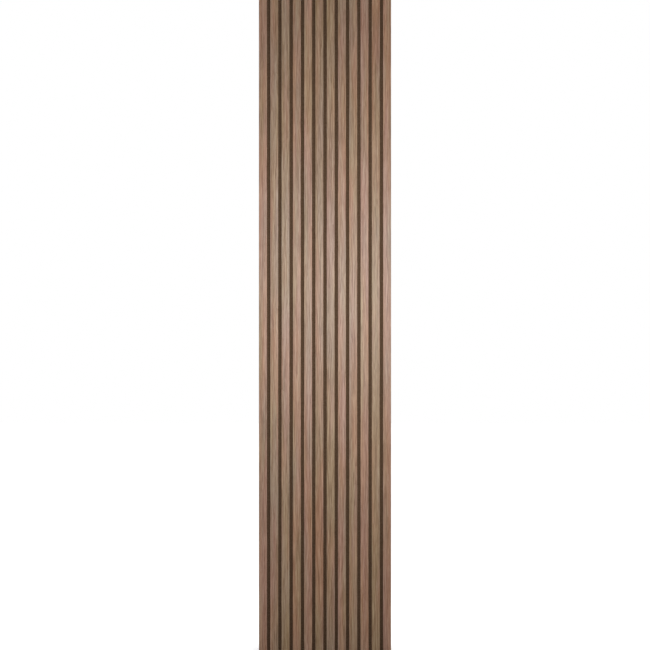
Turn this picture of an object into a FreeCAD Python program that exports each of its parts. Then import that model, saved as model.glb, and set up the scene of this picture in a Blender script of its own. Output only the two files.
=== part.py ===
"""Acoustic slat wall panel: veneered slats, glued and stapled to a board of felt.

Every piece is drawn as a section across the panel and runs along its length. X is across the panel,
Z is up and Y points at the wall. The felt's back lies on the wall in the plane Y = 0, the slats face -Y,
and the origin is the middle of the felt's back. Sizes are in millimetres.
"""

import FreeCAD, Part
import os
import Sketcher

# Driving dimensions, one cell of the sheet each.
SIZES = {
    "panel_length": 2600.0,
    "slat_count": 12,
    "slat_width": 32.0,
    "slat_gap": 13.0,
    "slat_depth": 12.0,
    "veneer_thickness": 0.6,
    "core_edge_radius": 0.5,
    "felt_thickness": 9.0,
    "staple_rows": 6,
    "staple_margin": 100.0,
    "staple_crown": 12.8,
    "staple_wire_width": 0.95,
    "staple_wire_thickness": 0.65,
    "staple_bite": 6.0,
    "staple_point": 0.8,
    "crown_recess": 0.4,
}

# Sizes that follow from the driving dimensions.
SLAT_PITCH = "(Sizes.slat_width + Sizes.slat_gap)"
PANEL_WIDTH = f"(Sizes.slat_count * {SLAT_PITCH} - Sizes.slat_gap)"
SLAT_SPAN = f"({PANEL_WIDTH} - Sizes.slat_width)"
FIRST_SLAT_X = f"(-{SLAT_SPAN} / 2)"
FELT_FRONT_Y = "(-Sizes.felt_thickness)"
CORE_WIDTH = "(Sizes.slat_width - 2 * Sizes.veneer_thickness)"
CORE_DEPTH = "(Sizes.slat_depth - Sizes.veneer_thickness)"
VENEER_EDGE_RADIUS = "(Sizes.core_edge_radius + Sizes.veneer_thickness)"
STAPLE_SPAN = "(Sizes.panel_length - 2 * Sizes.staple_margin)"
FIRST_STAPLE_Z = f"(-{STAPLE_SPAN} / 2)"
LEG_OUTSIDE_X = "(Sizes.staple_crown / 2)"
LEG_INSIDE_X = f"({LEG_OUTSIDE_X} - Sizes.staple_wire_thickness)"
CROWN_OUTSIDE_Y = "(-Sizes.crown_recess)"
CROWN_INSIDE_Y = f"({CROWN_OUTSIDE_Y} - Sizes.staple_wire_thickness)"

# The coordinate of a corner that lies on an axis of its sketch.
ON_AXIS = "0"

# Points closer than this are the same point.
SAME_PLACE = 1e-6


def fill_sheet(doc):
    """Puts each driving dimension in a cell with its name as the alias."""
    sheet = doc.addObject("Spreadsheet::Sheet", "Sizes")
    for row, (alias, size) in enumerate(SIZES.items(), start=1):
        sheet.set(f"A{row}", alias)
        sheet.set(f"B{row}", str(size))
        sheet.setAlias(f"B{row}", alias)
    doc.recompute()
    return sheet


def new_body(doc, label, x=None, y=None):
    """A body for one sub-part, with its local origin at the place that the expressions x and y give."""
    body = doc.addObject("PartDesign::Body", label)
    body.Label = label
    if x:
        body.setExpression("Placement.Base.x", x)
    if y:
        body.setExpression("Placement.Base.y", y)
    return body


def origin_feature(body, role):
    """The body's own plane or axis with this role, such as XY_Plane."""
    return next(f for f in body.Origin.OriginFeatures if f.Role == role)


def bind_corner(sketch, corner, axis, expression):
    """Ties one coordinate of an outline's corner to the sheet."""
    if expression == ON_AXIS:
        sketch_axis = -2 if axis == "X" else -1
        sketch.addConstraint(Sketcher.Constraint("PointOnObject", corner, 1, sketch_axis))
        return
    size = float(sketch.evalExpression(expression))
    index = sketch.addConstraint(Sketcher.Constraint(f"Distance{axis}", -1, 1, corner, 1, size))
    name = f"corner{corner + 1}_{axis.lower()}"
    sketch.renameConstraint(index, name)
    sketch.setExpression(f"Constraints.{name}", expression)


def section(body, name, right_corners, halves_joined=True, x=None, z=None):
    """A sketch of a section that is the same on both sides of the body's middle.

    right_corners are expressions for the corners of its right half, in order. Joined, the two halves are
    one outline; apart, each half is an outline of its own. x and z move the sketch off the body's origin.
    """
    sketch = body.newObject("Sketcher::SketchObject", name)
    sketch.AttachmentSupport = [(origin_feature(body, "XY_Plane"), "")]
    sketch.MapMode = "FlatFace"
    if x:
        sketch.setExpression("AttachmentOffset.Base.x", x)
    if z:
        sketch.setExpression("AttachmentOffset.Base.z", z)

    right = [tuple(float(sketch.evalExpression(e)) for e in corner) for corner in right_corners]
    left = [(-across, depth) for across, depth in reversed(right)]
    outlines = [right + left] if halves_joined else [right, left]
    for outline in outlines:
        first = sketch.GeometryCount
        points = [FreeCAD.Vector(across, depth, 0) for across, depth in outline]
        for here, there in zip(points, points[1:] + points[:1]):
            sketch.addGeometry(Part.LineSegment(here, there))
        for side in range(len(points)):
            after = (side + 1) % len(points)
            sketch.addConstraint(Sketcher.Constraint("Coincident", first + side, 2, first + after, 1))

    for corner, (across, depth) in enumerate(right_corners):
        bind_corner(sketch, corner, "X", across)
        bind_corner(sketch, corner, "Y", depth)
        opposite = sketch.GeometryCount - 1 - corner
        sketch.addConstraint(Sketcher.Constraint("Symmetric", corner, 1, opposite, 1, -2))
    return sketch


def extrude(body, kind, sketch, length):
    """Pads or pockets a section by the same amount above and below its plane."""
    feature = body.newObject(f"PartDesign::{kind}", f"{sketch.Name}_{kind.lower()}")
    feature.Profile = sketch
    feature.SideType = "Symmetric"
    feature.setExpression("Length", length)
    body.Tip = feature
    return feature


def round_long_edges(body, base, depth, radius):
    """Rounds the edges that run along the panel at this depth."""
    body.Document.recompute()
    y = float(body.evalExpression(depth))
    edges = [
        f"Edge{number}"
        for number, edge in enumerate(base.Shape.Edges, start=1)
        if all(abs(v.Y - y) < SAME_PLACE for v in edge.Vertexes)
        and abs(edge.Vertexes[0].Z - edge.Vertexes[-1].Z) > SAME_PLACE
    ]
    fillet = body.newObject("PartDesign::Fillet", f"{base.Name}_rounded")
    fillet.Base = (base, edges)
    fillet.setExpression("Radius", radius)
    body.Tip = fillet
    return fillet


def repeat(body, feature, on_every_slat):
    """Repeats a staple's shape up the panel, and on every slat where the body is as wide as the panel."""
    pattern = body.newObject("PartDesign::LinearPattern", f"{feature.Name}_rows")
    pattern.Originals = [feature]
    pattern.Direction = (origin_feature(body, "Z_Axis"), [""])
    pattern.setExpression("Length", STAPLE_SPAN)
    pattern.setExpression("Occurrences", "Sizes.staple_rows")
    if on_every_slat:
        pattern.Direction2 = (origin_feature(body, "X_Axis"), [""])
        pattern.setExpression("Length2", SLAT_SPAN)
        pattern.setExpression("Occurrences2", "Sizes.slat_count")
    body.Tip = pattern
    return pattern


def make_felt_backing(doc):
    """The felt board behind the slats, pierced by the staples, whose crowns sink into its back."""
    body = new_body(doc, "felt_backing")
    half_width = f"{PANEL_WIDTH} / 2"
    board = section(body, "felt_section", [(half_width, ON_AXIS), (half_width, FELT_FRONT_Y)])
    extrude(body, "Pad", board, "Sizes.panel_length")
    pierced = section(
        body,
        "felt_staple_slot",
        [
            (LEG_INSIDE_X, CROWN_INSIDE_Y),
            (LEG_INSIDE_X, FELT_FRONT_Y),
            (LEG_OUTSIDE_X, FELT_FRONT_Y),
            (LEG_OUTSIDE_X, ON_AXIS),
        ],
        x=FIRST_SLAT_X,
        z=FIRST_STAPLE_Z,
    )
    slot = extrude(body, "Pocket", pierced, "Sizes.staple_wire_width")
    repeat(body, slot, on_every_slat=True)
    return body


def make_slat_core(doc, number, slat_x):
    """A fibreboard core with eased front edges and the slots that the staple legs cut in its back."""
    body = new_body(doc, f"slat_core_{number:02d}", slat_x, FELT_FRONT_Y)
    half_width = f"{CORE_WIDTH} / 2"
    front_y = f"-{CORE_DEPTH}"
    bar = section(body, f"core_section_{number:02d}", [(half_width, ON_AXIS), (half_width, front_y)])
    pad = extrude(body, "Pad", bar, "Sizes.panel_length")
    round_long_edges(body, pad, front_y, "Sizes.core_edge_radius")
    bitten = section(
        body,
        f"core_leg_slots_{number:02d}",
        [
            (LEG_INSIDE_X, ON_AXIS),
            (LEG_INSIDE_X, "-(Sizes.staple_bite - Sizes.staple_point)"),
            (LEG_OUTSIDE_X, "-Sizes.staple_bite"),
            (LEG_OUTSIDE_X, ON_AXIS),
        ],
        halves_joined=False,
        z=FIRST_STAPLE_Z,
    )
    slots = extrude(body, "Pocket", bitten, "Sizes.staple_wire_width")
    repeat(body, slots, on_every_slat=False)
    return body


def make_slat_veneer(doc, number, slat_x):
    """The veneer that wraps the front and both sides of a core."""
    body = new_body(doc, f"slat_veneer_{number:02d}", slat_x, FELT_FRONT_Y)
    inside_x = f"{CORE_WIDTH} / 2"
    inside_y = f"-{CORE_DEPTH}"
    outside_x = "Sizes.slat_width / 2"
    outside_y = "-Sizes.slat_depth"
    wrap = section(
        body,
        f"veneer_section_{number:02d}",
        [(inside_x, inside_y), (inside_x, ON_AXIS), (outside_x, ON_AXIS), (outside_x, outside_y)],
    )
    pad = extrude(body, "Pad", wrap, "Sizes.panel_length")
    bend = round_long_edges(body, pad, outside_y, VENEER_EDGE_RADIUS)
    round_long_edges(body, bend, inside_y, "Sizes.core_edge_radius")
    return body


def make_staples(doc):
    """All the staples: flat wire bent to a U, with chisel points that are longest on the outside."""
    body = new_body(doc, "staples")
    body.AllowCompound = True
    point_y = "(-Sizes.felt_thickness - Sizes.staple_bite)"
    wire = section(
        body,
        "staple_section",
        [
            (LEG_INSIDE_X, CROWN_INSIDE_Y),
            (LEG_INSIDE_X, f"{point_y} + Sizes.staple_point"),
            (LEG_OUTSIDE_X, point_y),
            (LEG_OUTSIDE_X, CROWN_OUTSIDE_Y),
        ],
        x=FIRST_SLAT_X,
        z=FIRST_STAPLE_Z,
    )
    staple = extrude(body, "Pad", wire, "Sizes.staple_wire_width")
    repeat(body, staple, on_every_slat=True)
    return body


def make_panel(doc):
    """Builds every sub-part and returns their bodies."""
    bodies = [make_felt_backing(doc)]
    for slat in range(int(doc.Sizes.slat_count)):
        slat_x = f"{FIRST_SLAT_X} + {slat} * {SLAT_PITCH}"
        bodies.append(make_slat_core(doc, slat + 1, slat_x))
        bodies.append(make_slat_veneer(doc, slat + 1, slat_x))
    bodies.append(make_staples(doc))
    doc.recompute()
    return bodies


def check(doc, bodies):
    """Stops if an object failed to compute, or a sub-part has no sound solid."""
    for thing in doc.Objects:
        if "Invalid" in thing.State or "Error" in thing.State:
            raise RuntimeError(f"{thing.Label} failed: {thing.State}")
    for body in bodies:
        if body.Shape.isNull() or not body.Shape.isValid() or not body.Shape.Solids:
            raise RuntimeError(f"{body.Label} has no valid solid")


def write_parts(bodies):
    """Writes each sub-part to a STEP file named by its label."""
    os.makedirs("parts", exist_ok=True)
    for body in bodies:
        body.Shape.exportStep(f"parts/{body.Label}.step")
        print(f"{body.Label}: {len(body.Shape.Solids)} solids, {body.Shape.Volume:.1f} mm3")


def main():
    doc = FreeCAD.newDocument("slat_panel")
    fill_sheet(doc)
    bodies = make_panel(doc)
    check(doc, bodies)
    write_parts(bodies)


main()
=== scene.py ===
"""Looks of the acoustic slat wall panel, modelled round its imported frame.

The frame gives every place and size in metres: X runs across the panel, Z up the slats and Y into the wall,
so the slats face -Y. The veneers, the felt board and the staples are modelled here. The fibreboard cores
keep their solids and get a finish.
"""

import logging
import math
import random
from dataclasses import dataclass
from enum import Enum
from typing import Sequence, Union

import bmesh
import bpy
from bpy.types import Material, Mesh, Node, NodeSocket, Object, World
from mathutils import Matrix, Vector


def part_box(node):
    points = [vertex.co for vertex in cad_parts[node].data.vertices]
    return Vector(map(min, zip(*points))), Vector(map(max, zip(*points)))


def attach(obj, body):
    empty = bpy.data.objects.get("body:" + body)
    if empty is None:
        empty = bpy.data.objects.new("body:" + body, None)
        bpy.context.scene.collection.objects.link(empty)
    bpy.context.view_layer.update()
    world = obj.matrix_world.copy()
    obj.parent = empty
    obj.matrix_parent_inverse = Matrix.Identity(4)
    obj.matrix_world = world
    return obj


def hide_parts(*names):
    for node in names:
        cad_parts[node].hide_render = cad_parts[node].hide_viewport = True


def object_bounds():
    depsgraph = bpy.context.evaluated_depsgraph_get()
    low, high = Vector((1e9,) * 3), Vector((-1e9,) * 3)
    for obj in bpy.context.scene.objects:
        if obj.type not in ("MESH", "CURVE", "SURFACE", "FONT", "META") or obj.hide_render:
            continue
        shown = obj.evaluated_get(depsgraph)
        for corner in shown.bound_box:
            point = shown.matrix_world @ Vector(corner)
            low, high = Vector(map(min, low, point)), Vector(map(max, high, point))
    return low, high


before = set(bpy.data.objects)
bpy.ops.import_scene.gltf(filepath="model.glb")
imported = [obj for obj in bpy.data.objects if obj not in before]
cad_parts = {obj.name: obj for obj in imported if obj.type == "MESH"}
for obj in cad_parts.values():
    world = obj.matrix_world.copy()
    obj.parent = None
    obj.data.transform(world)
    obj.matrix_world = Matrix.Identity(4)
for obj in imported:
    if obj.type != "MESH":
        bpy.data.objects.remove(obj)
CAD_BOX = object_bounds()

log = logging.getLogger("slat_panel")

MM = 0.001
MM_PER_M = 1000.0
SAME_PLACE = 0.001 * MM
RANDOM_SEED = 11

BODY = "root"
FELT_NODE = "felt_backing"
STAPLES_NODE = "staples"
CORE_NODE = "slat_core_"
VENEER_NODE = "slat_veneer_"
SLAT_NUMBERS = sorted(name[len(CORE_NODE):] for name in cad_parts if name.startswith(CORE_NODE))

Colour = tuple[float, float, float]
Place = tuple[float, float, float]
Source = Union[NodeSocket, float, Sequence[float]]
Inputs = dict[Union[str, int], Source]
Geometry = Sequence[Union[bmesh.types.BMVert, bmesh.types.BMEdge, bmesh.types.BMFace]]


class Slot(Enum):
    """The record's material slots."""

    FELT = "felt"
    CORE = "slat_core"
    VENEER = "veneer"
    STEEL = "staple_steel"


class Rounding(Enum):
    """What a bevel rounds off, by Blender's names."""

    CORNERS = "VERTICES"
    EDGES = "EDGES"


class Blend(Enum):
    """How a second colour is mixed into a first one, by Blender's names."""

    PLAIN = "MIX"
    TINT = "MULTIPLY"


class ShaderGraph:
    """The nodes of a material or of the world, each added and linked by one call."""

    octave_roughness = 0.55
    # The Mix node's sockets by number, because those for colours share their names with others
    mix_share, mix_first, mix_second, mix_result = 0, 6, 7, 2

    def __init__(self, owner: Union[Material, World]) -> None:
        """Clears the owner's nodes.

        Args:
            owner: The new material or world.
        """
        self.owner = owner
        self.owner.use_nodes = True
        self.tree = self.owner.node_tree
        self.tree.nodes.clear()

    @classmethod
    def for_material(cls, name: str) -> "ShaderGraph":
        """The empty graph of a new material with this name."""
        return cls(bpy.data.materials.new(name))

    def node(self, kind: str, sources: Inputs, **settings: object) -> Node:
        """Adds a node and feeds its inputs.

        Args:
            kind: The node's Blender type.
            sources: A link or a plain value for each named or numbered input.
            settings: Properties of the node, set before its inputs.

        Returns:
            The new node.
        """
        made = self.tree.nodes.new(kind)
        for name, value in settings.items():
            setattr(made, name, value)
        for key, source in sources.items():
            if isinstance(source, NodeSocket):
                self.tree.links.new(source, made.inputs[key])
            else:
                made.inputs[key].default_value = source
        return made

    def place(self) -> NodeSocket:
        """The point on the piece, in metres."""
        return self.node("ShaderNodeTexCoord", {}).outputs["Object"]

    def place_mm(self, shift: Place = (0.0, 0.0, 0.0)) -> NodeSocket:
        """The point on the piece in millimetres, moved by a shift in millimetres."""
        scaled = {"Vector": self.place(), "Scale": (MM_PER_M,) * 3, "Location": shift}
        return self.node("ShaderNodeMapping", scaled).outputs["Vector"]

    def axis(self, place: NodeSocket, name: str) -> NodeSocket:
        """A point's X, Y or Z."""
        return self.node("ShaderNodeSeparateXYZ", {"Vector": place}).outputs[name]

    def noise(self, place: NodeSocket, periods: Place, octaves: float, turn: float = 0.0) -> Node:
        """Noise with its own period along each axis.

        Args:
            place: The point in millimetres.
            periods: The noise's periods along X, Y and Z, in millimetres.
            octaves: How many finer octaves it has.
            turn: Turn about Y of the whole pattern, in degrees.

        Returns:
            The noise node.
        """
        if turn:
            turned = {"Vector": place, "Rotation": (0.0, math.radians(turn), 0.0)}
            place = self.node("ShaderNodeMapping", turned).outputs["Vector"]
        scale = tuple(1.0 / period for period in periods)
        stretched = self.node("ShaderNodeMapping", {"Vector": place, "Scale": scale}).outputs["Vector"]
        fed = {"Vector": stretched, "Scale": 1.0, "Detail": octaves, "Roughness": self.octave_roughness}
        return self.node("ShaderNodeTexNoise", fed)

    def calculate(self, operation: str, *values: Source) -> NodeSocket:
        """A Math node's result for values that feed its inputs in order."""
        return self.node("ShaderNodeMath", dict(enumerate(values)), operation=operation).outputs[0]

    def blend_of(self, centre: float, parts: Sequence[tuple[NodeSocket, float]]) -> NodeSocket:
        """A centre value plus each field's swing about a half, times its weight.

        Args:
            centre: The value where every field is at a half.
            parts: Each field with its weight.

        Returns:
            The number.
        """
        total: Source = centre - sum(weight for _, weight in parts) / 2
        for field, weight in parts:
            total = self.calculate("MULTIPLY_ADD", field, weight, total)
        return total

    def step(self, value: NodeSocket, low: float, high: float) -> NodeSocket:
        """A smooth step of a number, from 0 where it is below low to 1 where it is above high."""
        fed = {"Value": value, "From Min": low, "From Max": high}
        return self.node("ShaderNodeMapRange", fed, interpolation_type="SMOOTHSTEP").outputs["Result"]

    def ramp(self, value: NodeSocket, stops: Sequence[float], colours: Sequence[Colour]) -> NodeSocket:
        """A colour ramp.

        Args:
            value: The number that picks the colour.
            stops: Places on the ramp, in order.
            colours: The colour at each of them.

        Returns:
            The colour.
        """
        made = self.node("ShaderNodeValToRGB", {"Fac": value})
        elements = made.color_ramp.elements
        while len(elements) < len(stops):
            elements.new(1.0)
        for element, stop, colour in zip(elements, stops, colours):
            element.position = stop
            element.color = (*colour, 1.0)
        return made.outputs["Color"]

    def mix(self, share: Source, first: Source, second: Source, blend: Blend = Blend.PLAIN) -> NodeSocket:
        """A mix of two colours.

        Args:
            share: How much of the second one is mixed in.
            first: The first colour.
            second: The second colour.
            blend: The way of mixing.

        Returns:
            The colour.
        """
        colours = {self.mix_first: self._opaque(first), self.mix_second: self._opaque(second)}
        sources = {self.mix_share: share, **colours}
        made = self.node("ShaderNodeMix", sources, data_type="RGBA", blend_type=blend.value)
        return made.outputs[self.mix_result]

    def bump(self, height: NodeSocket, depth_mm: float) -> NodeSocket:
        """The normal, bumped by a height from 0 to 1 that is so many millimetres deep."""
        return self.node("ShaderNodeBump", {"Height": height, "Distance": depth_mm * MM}).outputs["Normal"]

    def surface(self, sources: Inputs) -> Material:
        """Ends the graph with a Principled shader.

        Args:
            sources: The shader's inputs.

        Returns:
            The finished material.
        """
        shader = self.node("ShaderNodeBsdfPrincipled", sources)
        self.node("ShaderNodeOutputMaterial", {"Surface": shader.outputs["BSDF"]})
        return self.owner

    @staticmethod
    def _opaque(source: Source) -> Source:
        """A plain colour with an alpha of 1, and a link as it is."""
        return source if isinstance(source, NodeSocket) else (*source, 1.0)


@dataclass(frozen=True)
class Layer:
    """One scale of a finish: a noise's periods along X, Y and Z in mm, its octaves and its weight."""

    periods: Place
    octaves: float
    weight: float = 1.0

    def field(self, graph: ShaderGraph, place: NodeSocket, turn: float = 0.0) -> NodeSocket:
        """The layer's noise from 0 to 1 at a point in millimetres, turned about Y by some degrees."""
        return graph.noise(place, self.periods, self.octaves, turn).outputs["Fac"]


def grain(across: float, along: float, octaves: float, weight: float = 1.0) -> Layer:
    """A layer of wood grain, with its periods across and along the slat in millimetres."""
    return Layer((across, across, along), octaves, weight)


@dataclass(frozen=True)
class VeneerFinish:
    """Straight-grained, satin-lacquered veneer, with each slat cut from another stretch of the leaf."""

    dark: Colour = (0.2, 0.108, 0.063)
    middle: Colour = (0.32, 0.19, 0.123)
    light: Colour = (0.44, 0.291, 0.205)
    stops: tuple[float, ...] = (0.1, 0.5, 0.9)
    tone: float = 0.5
    tone_spread: float = 0.05

    figure: Layer = grain(30.0, 1100.0, 1.0, 0.22)
    rings: float = 14.0
    bands: Layer = grain(6.0, 260.0, 2.0, 0.7)
    lines: Layer = grain(1.5, 420.0, 1.0, 1.0)
    streaks: Layer = grain(2.0, 80.0, 2.0, 1.6)
    fibres: Layer = grain(0.6, 30.0, 3.0, 0.6)

    pale_flecks: Layer = grain(2.2, 40.0, 1.0, 0.45)
    dark_flecks: Layer = grain(1.8, 32.0, 1.0, 0.5)
    fleck_edge: tuple[float, float] = (0.6, 0.72)
    vessels: Layer = grain(0.24, 7.0, 1.0, 0.45)
    vessel_edge: tuple[float, float] = (0.59, 0.68)
    early_wood: float = 0.1
    pore: Colour = (0.12, 0.063, 0.037)

    reddish: Colour = (1.075, 0.968, 0.955)
    olive: Colour = (0.925, 1.034, 0.99)
    greyish: Colour = (0.985, 1.0, 1.1)
    tan: Colour = (1.015, 1.0, 0.88)
    red_drift: Layer = grain(32.0, 420.0, 2.0)
    grey_drift: Layer = grain(36.0, 500.0, 2.0)
    drift_edge: tuple[float, float] = (0.3, 0.7)
    hue_spread: float = 0.075

    wander: Layer = grain(45.0, 520.0, 2.0)
    wander_mm: float = 5.0
    leaf_step_mm: float = 170.0
    leaf_run_mm: float = 5000.0

    specular: float = 0.3
    roughness: float = 0.52
    streak_roughness: float = 0.12
    pore_roughness: float = 0.2
    relief_mm: float = 0.03

    def material(self, number: str, draw: random.Random) -> Material:
        """The finish of one slat.

        Args:
            number: The slat's number.
            draw: Where the slat's stretch of the leaf, its tone and its hue are drawn from.

        Returns:
            The material.
        """
        graph = ShaderGraph.for_material(f"veneer_{number}")
        shift = (int(number) * self.leaf_step_mm, 0.0, draw.uniform(0.0, self.leaf_run_mm))
        tone_shift = draw.uniform(-self.tone_spread, self.tone_spread)
        red_shift = draw.uniform(-self.hue_spread, self.hue_spread)
        grey_shift = draw.uniform(-self.hue_spread, self.hue_spread)
        place = self._wandering(graph, graph.place_mm(shift))

        risen = graph.calculate("MULTIPLY", self.figure.field(graph, place), self.rings)
        rings = graph.calculate("FRACT", risen)
        streaks = self.streaks.field(graph, place)
        fibres = self.fibres.field(graph, place)
        scales = [
            (rings, self.figure.weight),
            (self.bands.field(graph, place), self.bands.weight),
            (self.lines.field(graph, place), self.lines.weight),
            (streaks, self.streaks.weight),
            (fibres, self.fibres.weight),
        ]
        tone = graph.blend_of(self.tone + tone_shift, scales)
        colour = graph.ramp(tone, self.stops, (self.dark, self.middle, self.light))
        colour = self._drifted(graph, place, colour, (red_shift, grey_shift))
        colour = self._flecked(graph, place, colour)

        thinned = graph.calculate("MULTIPLY_ADD", rings, -self.early_wood, self.vessels.field(graph, place))
        pores = graph.step(thinned, *self.vessel_edge)
        colour = graph.mix(graph.calculate("MULTIPLY", pores, self.vessels.weight), colour, self.pore)

        gloss = [(streaks, self.streak_roughness), (pores, self.pore_roughness)]
        height = graph.calculate("SUBTRACT", fibres, pores)
        return graph.surface(
            {
                "Base Color": colour,
                "Roughness": graph.blend_of(self.roughness, gloss),
                "Specular IOR Level": self.specular,
                "Normal": graph.bump(height, self.relief_mm),
            }
        )

    def _drifted(
        self, graph: ShaderGraph, place: NodeSocket, colour: NodeSocket, shifts: Sequence[float]
    ) -> NodeSocket:
        """The colour with slow drifts of hue along the slat.

        Args:
            graph: The material's nodes.
            place: The point in millimetres.
            colour: The colour without them.
            shifts: How far the slat leans to red, and to grey.

        Returns:
            The colour.
        """
        drifts = ((self.red_drift, self.olive, self.reddish), (self.grey_drift, self.tan, self.greyish))
        for (layer, low, high), shift in zip(drifts, shifts):
            start, end = self.drift_edge
            share = graph.step(layer.field(graph, place), start - shift, end - shift)
            colour = graph.mix(1.0, colour, graph.mix(share, low, high), Blend.TINT)
        return colour

    def _flecked(self, graph: ShaderGraph, place: NodeSocket, colour: NodeSocket) -> NodeSocket:
        """The colour with pale and dark flecks strewn over it.

        Args:
            graph: The material's nodes.
            place: The point in millimetres.
            colour: The colour without them.

        Returns:
            The colour.
        """
        for flecks, fleck_colour in ((self.pale_flecks, self.light), (self.dark_flecks, self.dark)):
            marks = graph.step(flecks.field(graph, place), *self.fleck_edge)
            colour = graph.mix(graph.calculate("MULTIPLY", marks, flecks.weight), colour, fleck_colour)
        return colour

    def _wandering(self, graph: ShaderGraph, place: NodeSocket) -> NodeSocket:
        """The point moved a little across the slat, so that the grain drifts along it.

        Args:
            graph: The material's nodes.
            place: The point in millimetres.

        Returns:
            The moved point.
        """
        swing = graph.noise(place, self.wander.periods, self.wander.octaves).outputs["Color"]
        centred = graph.node("ShaderNodeVectorMath", {0: swing, 1: (0.5,) * 3}, operation="SUBTRACT")
        reach = (2 * self.wander_mm, 2 * self.wander_mm, 0.0)
        moved = {0: centred.outputs["Vector"], 1: reach, 2: place}
        return graph.node("ShaderNodeVectorMath", moved, operation="MULTIPLY_ADD").outputs["Vector"]


@dataclass(frozen=True)
class FeltFinish:
    """Dark needled felt: short fibres lying every way, some of them paler."""

    dark: Colour = (0.05, 0.029, 0.016)
    middle: Colour = (0.097, 0.057, 0.033)
    light: Colour = (0.18, 0.125, 0.085)
    stops: tuple[float, ...] = (0.2, 0.5, 0.85)
    tone: float = 0.5
    fibres: Layer = Layer((0.35, 0.5, 3.2), 1.0, 0.55)
    fibre_turns: tuple[float, ...] = (12.0, 57.0, 101.0, 148.0)
    clumps: Layer = Layer((9.0, 9.0, 9.0), 3.0, 0.35)
    roughness: float = 0.95
    specular: float = 0.06
    sheen: float = 0.06
    sheen_tint: Colour = (0.75, 0.52, 0.36)
    nap_mm: float = 0.4

    def material(self) -> Material:
        """The finish of the felt board.

        Returns:
            The material.
        """
        graph = ShaderGraph.for_material("felt")
        place = graph.place_mm()
        scales = [(self.fibres.field(graph, place, turn), self.fibres.weight) for turn in self.fibre_turns]
        scales.append((self.clumps.field(graph, place), self.clumps.weight))
        tone = graph.blend_of(self.tone, scales)
        return graph.surface(
            {
                "Base Color": graph.ramp(tone, self.stops, (self.dark, self.middle, self.light)),
                "Roughness": self.roughness,
                "Specular IOR Level": self.specular,
                "Sheen Weight": self.sheen,
                "Sheen Tint": (*self.sheen_tint, 1.0),
                "Normal": graph.bump(tone, self.nap_mm),
            }
        )


@dataclass(frozen=True)
class FibreboardFinish:
    """Raw fibreboard, seen at a slat's sawn ends: fine chips, pressed denser and darker near its faces."""

    dark: Colour = (0.16, 0.092, 0.047)
    middle: Colour = (0.29, 0.185, 0.105)
    light: Colour = (0.4, 0.28, 0.175)
    stops: tuple[float, ...] = (0.15, 0.5, 0.9)
    tone: float = 0.53
    chips: Layer = Layer((0.9, 0.35, 0.9), 3.0, 0.9)
    dust: Layer = Layer((0.18, 0.18, 0.18), 1.0, 0.35)
    mats: Layer = Layer((30.0, 2.2, 30.0), 1.0, 0.6)
    skin_edge: tuple[float, float] = (0.55, 1.0)
    skin_tone: float = -0.22
    roughness: float = 0.85
    specular: float = 0.2
    relief_mm: float = 0.08

    def material(self, front: float, back: float) -> Material:
        """The finish of the cores.

        Args:
            front: The Y of their fronts.
            back: The Y of their backs.

        Returns:
            The material.
        """
        graph = ShaderGraph.for_material("fibreboard")
        place = graph.place_mm()
        middle = (front + back) / 2 * MM_PER_M
        half = (back - front) / 2 * MM_PER_M
        off_middle = graph.calculate("SUBTRACT", graph.axis(place, "Y"), middle)
        outwards = graph.calculate("DIVIDE", graph.calculate("ABSOLUTE", off_middle), half)
        skin = graph.step(outwards, *self.skin_edge)
        scales = [(layer.field(graph, place), layer.weight) for layer in (self.chips, self.dust, self.mats)]
        tone = graph.calculate("MULTIPLY_ADD", skin, self.skin_tone, graph.blend_of(self.tone, scales))
        return graph.surface(
            {
                "Base Color": graph.ramp(tone, self.stops, (self.dark, self.middle, self.light)),
                "Roughness": self.roughness,
                "Specular IOR Level": self.specular,
                "Normal": graph.bump(tone, self.relief_mm),
            }
        )


@dataclass(frozen=True)
class StapleFinish:
    """Galvanised flat wire, drawn along its length."""

    dull: Colour = (0.4, 0.4, 0.39)
    bright: Colour = (0.66, 0.66, 0.64)
    stops: tuple[float, ...] = (0.2, 0.8)
    tone: float = 0.5
    drawn: Layer = Layer((6.0, 6.0, 0.12), 2.0, 0.6)
    zinc: Layer = Layer((1.6, 1.6, 1.6), 2.0, 0.9)
    roughness: float = 0.36
    zinc_roughness: float = 0.25
    scratch_mm: float = 0.01

    def material(self) -> Material:
        """The finish of the staples.

        Returns:
            The material.
        """
        graph = ShaderGraph.for_material("staple_wire")
        place = graph.place_mm()
        drawn = self.drawn.field(graph, place)
        zinc = self.zinc.field(graph, place)
        tone = graph.blend_of(self.tone, [(drawn, self.drawn.weight), (zinc, self.zinc.weight)])
        return graph.surface(
            {
                "Base Color": graph.ramp(tone, self.stops, (self.dull, self.bright)),
                "Metallic": 1.0,
                "Roughness": graph.blend_of(self.roughness, [(zinc, self.zinc_roughness)]),
                "Normal": graph.bump(drawn, self.scratch_mm),
            }
        )


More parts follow.
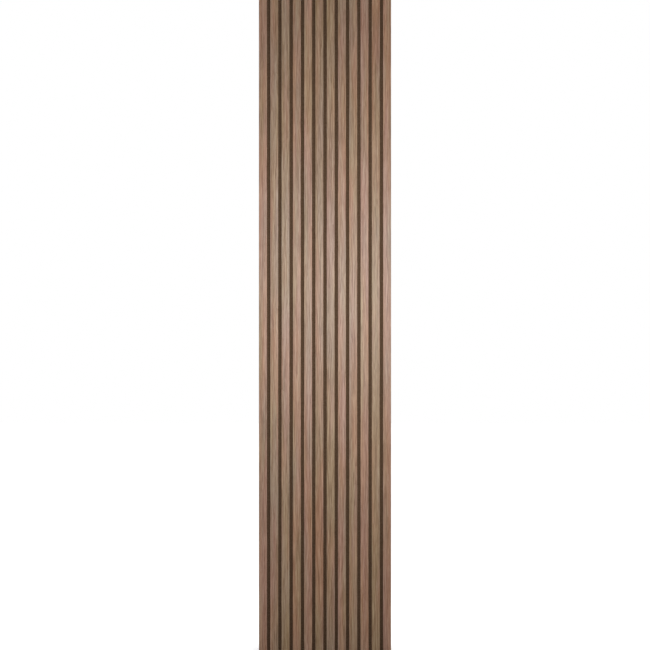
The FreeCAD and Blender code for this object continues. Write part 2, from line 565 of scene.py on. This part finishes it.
class MeshPiece:
    """A piece that is modelled here and stands for a solid of the frame."""

    sharp_angle = math.radians(35.0)

    def __init__(self, name: str) -> None:
        """Starts an empty mesh for the piece of this name."""
        self.name = name
        self.shape = bmesh.new()

    def outline(self, corners: Sequence[tuple[float, float]], z: float) -> list[bmesh.types.BMVert]:
        """Draws a flat face through corners in X and Y.

        Args:
            corners: The corners, in order.
            z: The height of the face.

        Returns:
            The corners' vertices, in order.
        """
        vertices = [self.shape.verts.new((x, y, z)) for x, y in corners]
        self.shape.faces.new(vertices)
        return vertices

    def round_off(self, geometry: Geometry, radius: float, segments: int, rounding: Rounding) -> None:
        """Rounds corners of a flat face, or edges.

        Args:
            geometry: The vertices or edges to round.
            radius: The radius of each arc.
            segments: How many edges an arc has.
            rounding: Which of the two they are.
        """
        bmesh.ops.bevel(
            self.shape,
            geom=list(geometry),
            offset=radius,
            segments=segments,
            profile=0.5,
            affect=rounding.value,
            material=-1,
        )

    def pull(self, height: float) -> None:
        """Extrudes every face up by a height along Z, which closes the solid."""
        made = bmesh.ops.extrude_face_region(self.shape, geom=list(self.shape.faces))
        bmesh.ops.translate(self.shape, verts=self.vertices_in(made["geom"]), vec=(0.0, 0.0, height))

    @staticmethod
    def vertices_in(geometry: Geometry) -> list[bmesh.types.BMVert]:
        """The vertices among vertices, edges and faces."""
        return [part for part in geometry if isinstance(part, bmesh.types.BMVert)]

    def finish(self, slot: Slot, material: Material, *nodes: str) -> Object:
        """Makes the object, and sets it in the frame in place of its solids.

        Args:
            slot: The record's slot that the finish belongs to; not used.
            material: The finish.
            nodes: The frame's nodes that the piece stands for.

        Returns:
            The object.
        """
        bmesh.ops.recalc_face_normals(self.shape, faces=list(self.shape.faces))
        mesh: Mesh = bpy.data.meshes.new(self.name)
        self.shape.to_mesh(mesh)
        self.shape.free()
        mesh.shade_smooth()
        mesh.set_sharp_from_angle(angle=self.sharp_angle)
        mesh.materials.append(material)
        piece = bpy.data.objects.new(self.name, mesh)
        bpy.context.scene.collection.objects.link(piece)
        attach(piece, BODY)
        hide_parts(*nodes)
        log.info("%s: %d faces", self.name, len(mesh.polygons))
        return piece


@dataclass
class Slat:
    """One slat: a fibreboard core, and the veneer wrapped round its front and sides."""

    number: str
    core_edge_radius: float = 0.5 * MM
    bend_segments: int = 6

    @property
    def core(self) -> str:
        """The core's node."""
        return f"{CORE_NODE}{self.number}"

    @property
    def veneer(self) -> str:
        """The veneer's node."""
        return f"{VENEER_NODE}{self.number}"

    @property
    def middle(self) -> float:
        """The X of the slat's middle."""
        low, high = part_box(self.core)
        return (low.x + high.x) / 2

    def wrap(self, finish: Material) -> Object:
        """Models the veneer as a sheet of even thickness, bent round the core's eased edges.

        Args:
            finish: The veneer's finish.

        Returns:
            The piece.
        """
        outer_low, outer_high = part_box(self.veneer)
        inner_low, inner_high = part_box(self.core)
        thickness = inner_low.y - outer_low.y
        sheet = MeshPiece(f"veneer_{self.number}")
        corners = sheet.outline(
            [
                (outer_low.x, outer_high.y),
                (outer_low.x, outer_low.y),
                (outer_high.x, outer_low.y),
                (outer_high.x, outer_high.y),
                (inner_high.x, inner_high.y),
                (inner_high.x, inner_low.y),
                (inner_low.x, inner_low.y),
                (inner_low.x, inner_high.y),
            ],
            outer_low.z,
        )
        outside_bends, inside_bends = corners[1:3], corners[5:7]
        outside_radius = self.core_edge_radius + thickness
        sheet.round_off(outside_bends, outside_radius, self.bend_segments, Rounding.CORNERS)
        sheet.round_off(inside_bends, self.core_edge_radius, self.bend_segments, Rounding.CORNERS)
        sheet.pull(outer_high.z - outer_low.z)
        return sheet.finish(Slot.VENEER, finish, self.veneer)

    def dress_core(self, finish: Material) -> None:
        """Gives the core's solid its finish.

        Args:
            finish: The raw fibreboard.
        """
        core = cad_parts[self.core]
        core.data.materials.clear()
        core.data.materials.append(finish)
        log.info("%s keeps its solid", self.core)


@dataclass
class StapleRows:
    """The staples on the back: where they are, and one staple's shape."""

    slats: Sequence[Slat]
    rows: int = 6
    wire_width: float = 0.95 * MM
    wire_thickness: float = 0.65 * MM
    point: float = 0.8 * MM
    outer_bend: float = 0.9 * MM
    inner_bend: float = 0.25 * MM
    bend_segments: int = 4

    @property
    def crown(self) -> float:
        """A crown's length: the staples' reach across the panel, less that of the slats' middles."""
        low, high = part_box(STAPLES_NODE)
        return high.x - low.x - (self.slats[-1].middle - self.slats[0].middle)

    @property
    def columns(self) -> list[float]:
        """The X of each column of staples."""
        return [slat.middle for slat in self.slats]

    @property
    def heights(self) -> list[float]:
        """The Z of each row of staples.

        Returns:
            The heights, from the lowest row up.
        """
        low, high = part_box(STAPLES_NODE)
        first = low.z + self.wire_width / 2
        spacing = (high.z - low.z - self.wire_width) / (self.rows - 1)
        return [first + row * spacing for row in range(self.rows)]

    def build(self, finish: Material) -> Object:
        """Models every staple: flat wire bent to a U, with chisel points.

        Args:
            finish: The wire's finish.

        Returns:
            The piece, with all the staples in it.
        """
        low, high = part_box(STAPLES_NODE)
        leg = high.y - low.y
        outside = self.crown / 2
        inside = outside - self.wire_thickness
        group = MeshPiece("staple_rows")
        corners = group.outline(
            [
                (-outside, 0.0),
                (-outside, -leg),
                (-inside, self.point - leg),
                (-inside, -self.wire_thickness),
                (inside, -self.wire_thickness),
                (inside, self.point - leg),
                (outside, -leg),
                (outside, 0.0),
            ],
            -self.wire_width / 2,
        )
        inner_corners, outer_corners = corners[3:5], (corners[0], corners[-1])
        group.round_off(inner_corners, self.inner_bend, self.bend_segments, Rounding.CORNERS)
        group.round_off(outer_corners, self.outer_bend, self.bend_segments, Rounding.CORNERS)
        group.pull(self.wire_width)
        pattern = [*group.shape.verts, *group.shape.edges, *group.shape.faces]
        for x in self.columns:
            for z in self.heights:
                copied = bmesh.ops.duplicate(group.shape, geom=pattern)["geom"]
                bmesh.ops.translate(group.shape, verts=group.vertices_in(copied), vec=(x, high.y, z))
        bmesh.ops.delete(group.shape, geom=group.vertices_in(pattern), context="VERTS")
        return group.finish(Slot.STEEL, finish, STAPLES_NODE)


@dataclass
class FeltBoard:
    """The felt board, with soft edges and a dent round each staple's crown."""

    staples: StapleRows
    edge_radius: float = 0.7 * MM
    edge_segments: int = 3
    dent_reach: float = 3.4 * MM
    dent_depth: float = 1.0 * MM
    ring_steps: tuple[float, ...] = (0.0, 0.25, 0.6, 1.1, 1.8, 2.8)

    def build(self, finish: Material) -> Object:
        """Models the board.

        Args:
            finish: The felt.

        Returns:
            The piece.
        """
        low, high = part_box(FELT_NODE)
        board = MeshPiece("felt_board")
        middle = Matrix.Translation((low + high) / 2)
        size = Matrix.Diagonal((*(high - low), 1.0))
        bmesh.ops.create_cube(board.shape, size=1.0, matrix=middle @ size)
        board.round_off(board.shape.edges, self.edge_radius, self.edge_segments, Rounding.EDGES)
        back = high.y - SAME_PLACE
        across, along = Vector((1.0, 0.0, 0.0)), Vector((0.0, 0.0, 1.0))
        self._cut_back(board, back, across, self.staples.columns, self.staples.crown / 2)
        self._cut_back(board, back, along, self.staples.heights, self.staples.wire_width / 2)
        self._press(board, back)
        return board.finish(Slot.FELT, finish, FELT_NODE)

    def _cut_back(
        self, board: MeshPiece, back: float, normal: Vector, centres: Sequence[float], half: float
    ) -> None:
        """Cuts lines into the back, closer together where it is dented.

        Args:
            board: The board.
            back: What lies past this Y is the back.
            normal: The axis that the lines lie across.
            centres: Where the staples lie on that axis.
            half: Half a crown's length or width on that axis.
        """
        offsets = [half + ring * self.dent_reach for ring in self.ring_steps]
        for cut in [centre + side * offset for centre in centres for offset in offsets for side in (-1, 1)]:
            faces = [face for face in board.shape.faces if face.calc_center_median().y > back]
            edges = {edge for face in faces for edge in face.edges}
            corners = {corner for face in faces for corner in face.verts}
            bmesh.ops.bisect_plane(
                board.shape,
                geom=[*corners, *edges, *faces],
                dist=SAME_PLACE,
                plane_co=normal * cut,
                plane_no=normal,
            )

    def _press(self, board: MeshPiece, back: float) -> None:
        """Presses the crowns' dents into the back.

        Args:
            board: The board.
            back: What lies past this Y is the back.
        """
        half_length, half_width = self.staples.crown / 2, self.staples.wire_width / 2
        columns, heights = self.staples.columns, self.staples.heights
        for corner in board.shape.verts:
            if corner.co.y < back:
                continue
            x = min(abs(corner.co.x - column) for column in columns) - half_length
            z = min(abs(corner.co.z - height) for height in heights) - half_width
            away = math.hypot(max(x, 0.0), max(z, 0.0)) / self.dent_reach
            corner.co.y -= self.dent_depth * math.exp(-away * away)


@dataclass(frozen=True)
class Lamp:
    """A soft square lamp that points at a target."""

    name: str
    place: Place
    target: Place
    size: float
    watts: float

    def build(self) -> None:
        """Adds the lamp to the scene."""
        light = bpy.data.lights.new(self.name, "AREA")
        light.shape = "SQUARE"
        light.size = self.size
        light.energy = self.watts
        lamp = bpy.data.objects.new(self.name, light)
        lamp.location = self.place
        lamp.rotation_euler = (Vector(self.target) - Vector(self.place)).to_track_quat("-Z", "Y").to_euler()
        bpy.context.scene.collection.objects.link(lamp)


@dataclass(frozen=True)
class Studio:
    """The camera, the lamps, the pale floor and the white surroundings."""

    camera_distance: float = 13.0
    camera_reach: float = 130.0
    sensor_mm: float = 36.0
    overfill: float = 1.0035
    ambient: float = 0.175
    floor_size: float = 60.0
    floor_colour: Colour = (0.6, 0.6, 0.6)
    # The glow at the panel's foot, weaker than the full white far off: painted shade round the foot
    floor_glow: float = 0.5
    floor_gap: float = 0.2 * MM
    shadow_reach: float = 0.5
    lamps: tuple[Lamp, ...] = (
        Lamp("front_lamp", (0.2, -1.9, 0.13), (0.0, 0.0, 0.69), size=0.6, watts=32.2),
        Lamp("back_lamp", (0.0, 2.1, 1.0), (0.0, 0.0, 0.0), size=0.5, watts=37.0),
        Lamp("left_lamp", (-2.4, 0.0, 0.6), (0.0, 0.0, 0.0), size=0.5, watts=9.0),
        Lamp("right_lamp", (2.4, 0.0, 0.6), (0.0, 0.0, 0.0), size=0.5, watts=9.0),
        Lamp("top_lamp", (0.0, 0.4, 3.6), (0.0, 0.0, 1.3), size=0.6, watts=26.0),
    )

    def build(self) -> None:
        """Sets up everything round the panel."""
        bpy.context.scene.view_settings.view_transform = "Standard"
        for lamp in self.lamps:
            lamp.build()
        self._camera()
        self._surroundings()
        self._floor()

    def _camera(self) -> None:
        """Points a long lens straight at the panel, which fills the picture from top to bottom."""
        low, high = CAD_BOX
        lens = bpy.data.cameras.new("camera")
        lens.sensor_width = self.sensor_mm
        lens.lens = self.sensor_mm * self.camera_distance / (high.z - low.z) * self.overfill
        lens.clip_end = self.camera_reach
        camera = bpy.data.objects.new("camera", lens)
        camera.location = ((low.x + high.x) / 2, low.y - self.camera_distance, (low.z + high.z) / 2)
        camera.rotation_euler = (math.radians(90.0), 0.0, 0.0)
        bpy.context.scene.collection.objects.link(camera)
        bpy.context.scene.camera = camera

    @staticmethod
    def _seen_directly(graph: ShaderGraph) -> NodeSocket:
        """Tells the rays that a white background is shown to from those that light the panel.

        Args:
            graph: The nodes of the world or the floor.

        Returns:
            1 for a ray from the camera or one that a shiny or clear surface sends on, and 0 for others.
        """
        rays = graph.node("ShaderNodeLightPath", {}).outputs
        shiny = graph.calculate("MAXIMUM", rays["Is Glossy Ray"], rays["Is Transmission Ray"])
        return graph.calculate("MAXIMUM", rays["Is Camera Ray"], shiny)

    def _surroundings(self) -> None:
        """A world that looks white and lights the panel softly."""
        world = bpy.data.worlds.new("surroundings")
        graph = ShaderGraph(world)
        seen = self._seen_directly(graph)
        strength = graph.calculate("MULTIPLY_ADD", seen, 1.0 - self.ambient, self.ambient)
        light = graph.node("ShaderNodeBackground", {"Color": (1.0, 1.0, 1.0, 1.0), "Strength": strength})
        graph.node("ShaderNodeOutputWorld", {"Surface": light.outputs["Background"]})
        bpy.context.scene.world = world

    def _floor(self) -> None:
        """A wide pale floor that the panel's foot stands on, and that keeps its shadow."""
        shape = bmesh.new()
        bmesh.ops.create_grid(shape, x_segments=1, y_segments=1, size=self.floor_size / 2)
        bmesh.ops.translate(shape, verts=list(shape.verts), vec=(0.0, 0.0, CAD_BOX[0].z - self.floor_gap))
        mesh = bpy.data.meshes.new("floor")
        shape.to_mesh(mesh)
        shape.free()
        mesh.materials.append(self._floor_finish())
        floor = bpy.data.objects.new("floor", mesh)
        bpy.context.scene.collection.objects.link(floor)

    def _floor_finish(self) -> Material:
        """A pale floor that turns white a little way from the panel's foot and glows less near it: painted
        shade round the foot, where the lamps' real shadow also shows.

        Returns:
            The material.
        """
        graph = ShaderGraph.for_material("floor")
        place = graph.place()
        x, y = graph.axis(place, "X"), graph.axis(place, "Y")
        beside = graph.calculate("SUBTRACT", graph.calculate("ABSOLUTE", x), CAD_BOX[1].x)
        aside = graph.calculate("POWER", graph.calculate("MAXIMUM", beside, 0.0), 2.0)
        away = graph.calculate("SQRT", graph.calculate("MULTIPLY_ADD", y, y, aside))
        # Painted shade: the glow rises from floor_glow at the foot to full white at shadow_reach, so the
        # floor is darker near the foot
        far = graph.step(away, 0.0, self.shadow_reach)
        glow = graph.calculate("MULTIPLY_ADD", far, 1.0 - self.floor_glow, self.floor_glow)
        lit = graph.node("ShaderNodeBsdfDiffuse", {"Color": (*self.floor_colour, 1.0)})
        strength = graph.calculate("MULTIPLY", self._seen_directly(graph), glow)
        bright = graph.node("ShaderNodeEmission", {"Strength": strength})
        both = graph.node("ShaderNodeAddShader", {0: lit.outputs["BSDF"], 1: bright.outputs["Emission"]})
        graph.node("ShaderNodeOutputMaterial", {"Surface": both.outputs["Shader"]})
        return graph.owner


class SlatPanel:
    """The whole panel."""

    def __init__(self) -> None:
        """Takes the slats from the frame, and seeds the draws that tell them apart."""
        self.slats = [Slat(number) for number in SLAT_NUMBERS]
        self.staples = StapleRows(self.slats)
        self.felt = FeltBoard(self.staples)
        self.draw = random.Random(RANDOM_SEED)

    def build(self) -> None:
        """Models and dresses every piece."""
        veneer = VeneerFinish()
        core_low, core_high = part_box(self.slats[0].core)
        fibreboard = FibreboardFinish().material(core_low.y, core_high.y)
        for slat in self.slats:
            slat.wrap(veneer.material(slat.number, self.draw))
            slat.dress_core(fibreboard)
        self.felt.build(FeltFinish().material())
        self.staples.build(StapleFinish().material())


def main() -> None:
    """Builds the panel and its studio."""
    logging.basicConfig(level=logging.INFO, format="%(name)s %(message)s")
    SlatPanel().build()
    Studio().build()


if __name__ == "__main__":
    main()
